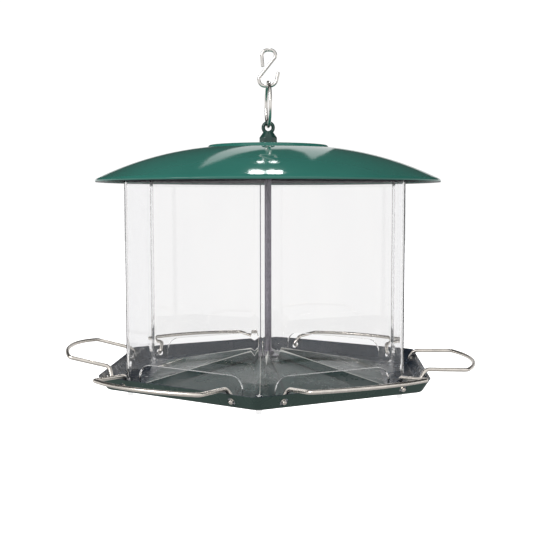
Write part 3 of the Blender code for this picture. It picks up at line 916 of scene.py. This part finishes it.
def make_washer(node, material):
    """A punched washer: rounded on one face where the punch entered, crisp on the other."""
    low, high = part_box(node)
    outer = high.x
    punch, burr = 0.28 * MM, 0.08 * MM
    profile = [(ROD_HOLE, high.z - punch), (ROD_HOLE + punch, high.z)]
    profile += [(outer - 0.9 * MM, high.z), (outer - punch, high.z - 0.06 * MM)]
    profile += [(outer, high.z - punch), (outer, low.z + burr), (outer - burr, low.z)]
    profile += [(ROD_HOLE + burr, low.z), (ROD_HOLE, low.z + burr)]
    bm = bmesh.new()
    turned(bm, profile, 72)
    add_piece("feeder_" + node, mesh_from(bm, node, 50.0), material, node, "base")


def make_nut(node, material):
    """A hexagon nut with chamfered corners on both faces and a countersunk bore."""
    low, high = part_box(node)
    flats = min(high.x, high.y)
    reach = flats / SIDE_SHARE
    slope = 0.15 * (high.z - low.z)
    face = flats - 0.05 * MM
    steps = 72
    sink = 0.5 * MM
    shares = (0.0, 0.25, 0.5, 0.75, 1.0)

    def hexagonal(angle):
        """Distance to the hexagon's outline, with flats square to +X and -X."""
        local = (angle + math.pi / 6) % (math.pi / 3) - math.pi / 6
        return flats / math.cos(local)

    flat_turn = 0.0 if high.x <= high.y else math.pi / 6

    def outline(cap, z):
        """A ring that is the hexagon, or the circle of this radius where that is smaller."""
        ring = []
        for step in range(steps):
            angle = 2 * math.pi * step / steps
            ring.append(polar(min(hexagonal(angle - flat_turn), cap), angle, z))
        return ring

    rings = [outline(ROD_HOLE, low.z + sink), outline(ROD_HOLE + sink, low.z), outline(face, low.z)]
    for share in shares:
        rings.append(outline(face + share * (reach - face), low.z + share * slope))
    for share in reversed(shares):
        rings.append(outline(face + share * (reach - face), high.z - share * slope))
    rings += [outline(face, high.z), outline(ROD_HOLE + sink, high.z)]
    rings.append(outline(ROD_HOLE, high.z - sink))
    bm = bmesh.new()
    rows = loft(bm, rings)
    close_loft(bm, rows)
    bmesh.ops.remove_doubles(bm, verts=bm.verts, dist=0.002 * MM)
    add_piece("feeder_" + node, mesh_from(bm, node, 28.0), material, node, "base")


# ---------------- eye knob, ring and S-hook


def make_knob(material):
    """An eight-sided skirt with soft corners, a turned neck and a thick eye."""
    foot_z = KNOB_LOW.z
    radius = 7.3 * MM
    flats = 6.9 * MM
    shoulder = ROOF_RIM_Z + 35.2 * MM
    neck = ROOF_RIM_Z + 39.4 * MM
    eye_z = ROOF_RIM_Z + 43.0 * MM
    bore_top = ROD_HIGH.z + 0.7 * MM

    def octagonal(angle, reach):
        """Cuts the turned skirt back to eight flats; their corners keep the turned radius."""
        local = (angle + math.pi / 8) % (math.pi / 4) - math.pi / 8
        return min(1.0, flats / math.cos(local) / reach)

    bell = rounded(
        [
            (ROD_HOLE, 0.0, bore_top),
            (ROD_HOLE, 0.0, foot_z),
            (radius - 0.1 * MM, 0.0, foot_z),
            (radius, 0.0, shoulder - 0.3 * MM),
            (4.0 * MM, 0.0, neck),
            (3.4 * MM, 0.0, neck + 0.9 * MM),
            (0.0, 0.0, neck + 0.9 * MM),
        ],
        [0.0, 0.3 * MM, 0.7 * MM, 0.9 * MM, 0.8 * MM, 0.3 * MM, 0.0],
        6,
    )
    profile = [(0.0, bore_top)] + [(max(p.x, 0.0), p.z) for p in bell]
    bm = bmesh.new()
    turned(bm, profile, 96, octagonal)
    mesh = mesh_from(bm, "feeder_eye_knob", 24.0)
    mesh.transform(Matrix.Rotation(KNOB_TURN, 4, "Z"))
    knob = add_piece("feeder_eye_knob", mesh, material, "eye_knob", "knob")

    outer, hole, half_depth = 5.35 * MM, 2.45 * MM, 2.4 * MM
    middle, half = (outer + hole) / 2, (outer - hole) / 2
    section_steps = 24
    section = []
    for index in range(section_steps):
        angle = math.pi / 2 - 2 * math.pi * index / section_steps
        section.append((middle + half * math.cos(angle), half_depth * math.sin(angle)))
    bm = bmesh.new()
    turned(bm, section, 64)
    turn = Matrix.Rotation(KNOB_TURN, 4, "Z") @ Matrix.Rotation(math.pi / 2, 4, "X")
    bmesh.ops.transform(bm, matrix=Matrix.Translation((0, 0, eye_z)) @ turn, verts=bm.verts)
    cut(knob, bm, "knob_eye", "UNION")


def make_ring(material):
    """The ring's closed wire, in the upright plane that holds the axis of its swing."""
    joint = Vector(JOINTS["ring_swing"]["pos_m"])
    radius = (RING_HIGH.z - RING_LOW.z) / 2 - RING_WIRE
    way = Vector(JOINTS["ring_swing"]["axis"])
    across = Vector((way.x, way.y, 0)).normalized()
    steps = 128
    path = []
    for index in range(steps):
        angle = 2 * math.pi * index / steps
        offset = across * (radius * math.sin(angle))
        path.append(joint + offset + Vector((0, 0, radius * (1 - math.cos(angle)))))
    mesh = wire_mesh("feeder_hanging_ring", path, RING_WIRE, cyclic=True)
    add_piece("feeder_hanging_ring", mesh, material, "hanging_ring", "ring")


def make_hook(material):
    """The S-hook: one wire bent both ways, with its two sheared ends."""
    seat = HOOK_LOW.z + HOOK_WIRE
    # Where the wire's straight stretches would meet, in millimetres across and above the seat.
    corners = [
        (-4.3, 14.9),
        (-5.4, 27.9),
        (6.2, 27.9),
        (5.6, 22.5),
        (-7.6, 6.1),
        (-6.6, 0.0),
        (5.6, 0.0),
        (8.1, 10.7),
    ]
    radii = [radius * MM for radius in (0.0, 4.6, 4.1, 2.2, 4.0, 4.8, 6.0, 0.0)]
    points = [(x * MM, 0.0, seat + z * MM) for x, z in corners]
    path = spaced(rounded(points, radii, 16), 0.5 * MM)
    mesh = wire_mesh("feeder_s_hook", path, HOOK_WIRE)
    add_piece("feeder_s_hook", mesh, material, "s_hook", "hook")


# ---------------- perches


def perch_path():
    """The wire's route in a side's own frame, about the midpoint of the line through its holes."""
    rim_span, bend_span = 45.0 * MM, 46.3 * MM
    bow = 10.5 * MM
    corner = 4.5 * MM
    _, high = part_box("perch_back_right")
    pivot = perch_pivot("perch_right")
    stub_out = WALL_NORMAL * (SHEET / 2 + 1.5 * MM)
    leg_foot = -WALL_NORMAL * (SHEET / 2 + PERCH_WIRE + GAP)
    bar_z = high.z - PERCH_WIRE - pivot.z
    leg_top = leg_foot + WALL_OUT * (bar_z - leg_foot.z) / WALL_OUT.z
    bend_x = PERCH_BEND_X - pivot.x
    half = [
        (stub_out, PERCH_SPAN, 0.0),
        (leg_foot, PERCH_SPAN, 1.7 * MM),
        (leg_top, rim_span, corner),
        (Vector((bend_x, 0, bar_z)), bend_span, corner),
    ]
    corners = [Vector((point.x, along, point.z)) for point, along, _ in half]
    radii = [radius for _, _, radius in half]
    bow_radius = (bend_span**2 + bow**2) / (2 * bow)
    bow_angle = math.asin(bend_span / bow_radius)
    stretches = 28
    arc = []
    for index in range(1, stretches):
        angle = bow_angle * (1 - 2 * index / stretches)
        reach = bend_x + bow - bow_radius * (1 - math.cos(angle))
        arc.append(Vector((reach, bow_radius * math.sin(angle), bar_z)))
    mirrored = [Vector((p.x, -p.y, p.z)) for p in reversed(corners)]
    path = rounded(corners + arc + mirrored, radii + [0.0] * len(arc) + radii[::-1], 10)
    return spaced(path, 3 * MM)


def make_perches(material):
    """Each perch stands on its side of the tray, raised by what its fold's low limit takes off."""
    path = perch_path()
    for name, side in PERCH_SIDES.items():
        raised = -JOINTS[name + "_fold"]["range_deg"][0]
        turn = Matrix.Translation(perch_pivot(name)) @ side_matrix(math.radians(side))
        turn = turn @ Matrix.Rotation(-math.radians(raised), 4, "Y")
        mesh = wire_mesh("feeder_" + name, [turn @ point for point in path], PERCH_WIRE)
        add_piece("feeder_" + name, mesh, material, name, name)


# ---------------- studio


def make_camera():
    """A little right of the front corner, just under the roof's rim, looking slightly down."""
    azimuth, down = math.radians(2.68), math.radians(4.74)
    distance, side_shift, height = 762.0 * MM, 8.1 * MM, RIM_Z + 130.1 * MM
    data = bpy.data.cameras.new("camera")
    data.sensor_width = 36.0
    data.lens = 61.84
    data.clip_start = 0.01
    camera = bpy.data.objects.new("camera", data)
    bpy.context.scene.collection.objects.link(camera)
    across = Vector((math.cos(azimuth), math.sin(azimuth), 0))
    back = Vector((math.sin(azimuth), -math.cos(azimuth), 0))
    camera.location = back * distance + across * side_shift + Vector((0, 0, height))
    camera.rotation_euler = (math.pi / 2 - down, 0.0, azimuth)
    bpy.context.scene.camera = camera


def add_area(name, location, target, size, watts):
    """A soft rectangular light that the camera doesn't see, aimed at a point."""
    data = bpy.data.lights.new(name, "AREA")
    data.shape = "RECTANGLE"
    data.size, data.size_y = size
    data.energy = watts
    light = bpy.data.objects.new(name, data)
    bpy.context.scene.collection.objects.link(light)
    light.location = location
    light.rotation_euler = (Vector(target) - light.location).to_track_quat("-Z", "Y").to_euler()
    light.visible_camera = False
    return light


def add_floor():
    """A pale floor well below the hanging feeder, lit enough to read as plain paper."""
    reach, z = 12.0, -0.42
    corners = [(x * reach, y * reach, z) for x, y in ((-1, -1), (1, -1), (1, 1), (-1, 1))]
    mesh = bpy.data.meshes.new("floor")
    mesh.from_pydata(corners, [], [(0, 1, 2, 3)])
    floor = bpy.data.objects.new("floor", mesh)
    bpy.context.scene.collection.objects.link(floor)
    floor.visible_glossy = False
    floor.visible_diffuse = False
    floor.visible_transmission = False
    n = Nodes("floor_paper")
    shade = n.noise(n.place(), 3.0, 2.0)
    n.feed("Base Color", n.colours(shade, (0.93, 0.93, 0.93), (0.95, 0.95, 0.95)))
    n.set(Roughness=0.9, Emission_Color=(1.0, 1.0, 1.0, 1.0), Emission_Strength=0.95)
    mesh.materials.append(n.owner)


def make_world():
    """White paper to the eye and through the plastic, an even glow, and a room to mirror.

    The pieces mirror a pale room at the front, a pale backdrop low at the back and a dark
    ceiling. The backdrop's top edge rises to two peaks, which the stops give as (share of the way
    across, height).
    """
    world = bpy.data.worlds.new("studio")
    bpy.context.scene.world = world
    n = Nodes("studio", world)
    parts = n.new("ShaderNodeSeparateXYZ")
    n.link(n.new("ShaderNodeTexCoord").outputs["Generated"], parts.inputs[0])
    x, y, z = parts.outputs
    edge = n.new("ShaderNodeValToRGB")
    ramp = edge.color_ramp
    stops = (
        (0.00, 0.13),
        (0.09, 0.16),
        (0.11, 0.64),
        (0.22, 0.56),
        (0.28, 0.48),
        (0.40, 0.39),
        (0.59, 0.36),
        (0.73, 0.44),
        (0.82, 0.57),
        (0.88, 0.40),
        (0.93, 0.16),
    )
    while len(ramp.elements) < len(stops):
        ramp.elements.new(0.5)
    for element, (place, height) in zip(ramp.elements, stops):
        element.position = place
        element.color = (height, height, height, 1.0)
    slope = n.maths(x, n.maths(z, 0.02, "MAXIMUM"), "DIVIDE")
    n.link(n.ramp(slope, -0.40, 0.20, 0.0, 1.0, smooth=False), edge.inputs["Fac"])
    over = n.maths(z, edge.outputs["Color"], "SUBTRACT")
    below_edge = n.ramp(over, -0.02, 0.03, 1.0, 0.0)
    lit = n.maths(below_edge, n.ramp(y, -0.15, 0.0, 1.0, 0.0), "MAXIMUM")
    pale = n.ramp(y, -0.5, 0.5, 0.80, 0.78)
    ground = n.ramp(z, -0.6, -0.05, 0.45, 1.0)
    dark, through_plastic, to_eye = 0.045, 0.975, 1.05
    room = n.maths(n.maths(n.maths(lit, pale, "MULTIPLY"), ground, "MULTIPLY"), dark)
    glow = n.ramp(z, -0.5, 0.5, 0.45, 0.80)
    path = n.new("ShaderNodeLightPath").outputs
    strength = n.mixed(path["Is Glossy Ray"], glow, room)
    strength = n.mixed(path["Is Transmission Ray"], strength, through_plastic)
    strength = n.mixed(path["Is Camera Ray"], strength, to_eye)
    n.feed("Strength", strength)
    n.shader.inputs["Color"].default_value = (1.0, 1.0, 1.0, 1.0)


def make_studio():
    """White surroundings, a large key and fill, and four small lamps that the dome mirrors.

    A lamp's row gives its name, its direction from the dome's front in degrees across and up, its
    width and height in metres, and its watts.
    """
    view = bpy.context.scene.view_settings
    view.view_transform = "Standard"
    view.look = "None"
    make_world()
    add_floor()
    middle = (0.0, 0.0, 0.10)
    add_area("key", (-1.5, -1.2, 1.3), middle, (1.0, 1.0), 24.0)
    fill = add_area("fill", (1.6, -1.2, 0.5), middle, (1.0, 1.0), 5.0)
    fill.visible_glossy = False
    fill.visible_transmission = False
    lamps = (
        ("left_box", -6.45, 51.2, 0.082, 0.17, 1.0),
        ("right_box", -1.3, 51.2, 0.082, 0.17, 1.0),
        ("left_lamp", -4.7, 40.6, 0.032, 0.028, 0.06),
        ("right_lamp", -2.0, 40.6, 0.032, 0.028, 0.06),
    )
    lamp_distance = 2.0
    dome_front = Vector((0.0, -0.08, ROOF_RIM_Z + 10 * MM))
    for name, across, up, wide, high, watts in lamps:
        turn, lift = math.radians(across), math.radians(up)
        level = math.cos(lift)
        way = Vector((level * math.sin(turn), level * math.cos(turn), math.sin(lift)))
        add_area(name, dome_front + way * lamp_distance, dome_front, (wide, high), watts)


# ---------------- assembly


def main():
    """Makes the materials, the pieces that wear them, and the studio."""
    roof_green = enamel("roof_enamel", (0.024, 0.142, 0.112), (0.030, 0.165, 0.132), 0.065)
    under = enamel("roof_inside", (0.050, 0.048, 0.056), (0.062, 0.060, 0.070), 0.6, index=1.2)
    tray_green = enamel(
        "tray_enamel",
        (0.034, 0.064, 0.055),
        (0.046, 0.080, 0.068),
        0.24,
        index=1.36,
        peel=0.25,
        # painted shade: a darker, bluer colour on the tray's floor and inner walls, which look up
        upward_shade=(0.020, 0.028, 0.040),
    )
    # the tray's green at about half its brightness: painted shade for the diverter's place under
    # the roof
    ridge_green = enamel(
        "diverter_enamel",
        (0.016, 0.030, 0.029),
        (0.024, 0.044, 0.041),
        0.24,
        index=1.24,
        peel=0.08,
        # paints a highlight on the crests and shadow at the ribs' feet
        painted_ribs=True,
    )
    knob_green = moulded_plastic("knob_plastic", (0.008, 0.045, 0.036), (0.012, 0.056, 0.044), 0.20)
    clear = clear_plastic("clear_hopper_plastic")
    perch_steel = bright_wire("perch_wire", (0.92, 0.86, 0.79), (0.78, 0.73, 0.67), 0.24)
    hanger_steel = bright_wire("hanger_wire", (0.86, 0.83, 0.79), (0.68, 0.66, 0.63), 0.15)
    zinc = plated_steel("zinc_plate", (0.22, 0.20, 0.24), (0.14, 0.13, 0.16), 0.34)
    make_tray(tray_green)
    make_diverter(ridge_green)
    make_hopper(clear)
    make_roof(roof_green, under)
    make_rod(zinc)
    for node in ("diverter_washer", "base_washer"):
        make_washer(node, zinc)
    for node in ("diverter_nut", "base_nut"):
        make_nut(node, zinc)
    make_knob(knob_green)
    make_ring(hanger_steel)
    make_hook(hanger_steel)
    make_perches(perch_steel)
    make_studio()
    make_camera()


main()
